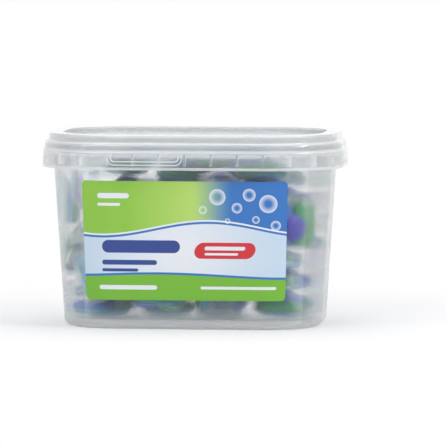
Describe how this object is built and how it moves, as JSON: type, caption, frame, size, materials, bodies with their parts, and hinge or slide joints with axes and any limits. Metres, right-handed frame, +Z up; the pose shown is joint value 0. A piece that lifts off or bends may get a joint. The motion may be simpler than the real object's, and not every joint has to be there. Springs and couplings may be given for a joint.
{
  "type": "laundry pod tub",
  "caption": "Rounded, leaning-walled translucent tub with a press-on stacking lid, tear tab and front film label, filled with flanged three-chamber laundry pods.",
  "frame": {"origin": "middle of the base, on the surface the tub stands on", "axes": "+Z up, +X along the width, the front with the label faces -Y"},
  "size_m": [0.21, 0.1386, 0.1342],
  "materials": {
    "tub_plastic": "natural polypropylene, slightly milky, moulded satin",
    "lid_plastic": "natural polypropylene, moulded, glossier than the tub",
    "label_film": "printed film, glossy, green, white and blue fields",
    "pod_gel": "blue, green and purple gel in clear water-soluble film"
  },
  "bodies": {
    "tub_body": {"tub": "tub_plastic", "front_label": "label_film", "pod_01": "pod_gel", "pod_02": "pod_gel", "pod_03": "pod_gel", "pod_04": "pod_gel", "pod_05": "pod_gel", "pod_06": "pod_gel", "pod_07": "pod_gel", "pod_08": "pod_gel", "pod_09": "pod_gel", "pod_10": "pod_gel", "pod_11": "pod_gel", "pod_12": "pod_gel", "pod_13": "pod_gel", "pod_14": "pod_gel", "pod_15": "pod_gel", "pod_16": "pod_gel", "pod_17": "pod_gel", "pod_18": "pod_gel", "pod_19": "pod_gel", "pod_20": "pod_gel", "pod_21": "pod_gel", "pod_22": "pod_gel", "pod_23": "pod_gel", "pod_24": "pod_gel", "pod_25": "pod_gel", "pod_26": "pod_gel", "pod_27": "pod_gel", "pod_28": "pod_gel", "pod_29": "pod_gel", "pod_30": "pod_gel", "pod_31": "pod_gel", "pod_32": "pod_gel", "pod_33": "pod_gel", "pod_34": "pod_gel", "pod_35": "pod_gel", "pod_36": "pod_gel", "pod_37": "pod_gel", "pod_38": "pod_gel", "pod_39": "pod_gel", "pod_40": "pod_gel", "pod_41": "pod_gel", "pod_42": "pod_gel", "pod_43": "pod_gel", "pod_44": "pod_gel", "pod_45": "pod_gel", "pod_46": "pod_gel", "pod_47": "pod_gel", "pod_48": "pod_gel", "pod_49": "pod_gel", "pod_50": "pod_gel", "pod_51": "pod_gel", "pod_52": "pod_gel", "pod_53": "pod_gel", "pod_54": "pod_gel", "pod_55": "pod_gel", "pod_56": "pod_gel", "pods_57_to_60": "pod_gel"},
    "lid_body": {"lid": "lid_plastic"}
  },
  "joints": [
    {"name": "lid_lift", "type": "slide", "parent": "tub_body", "child": "lid_body", "axis": [0, 0, 1], "range_m": [0, 0.12]}
  ]
}
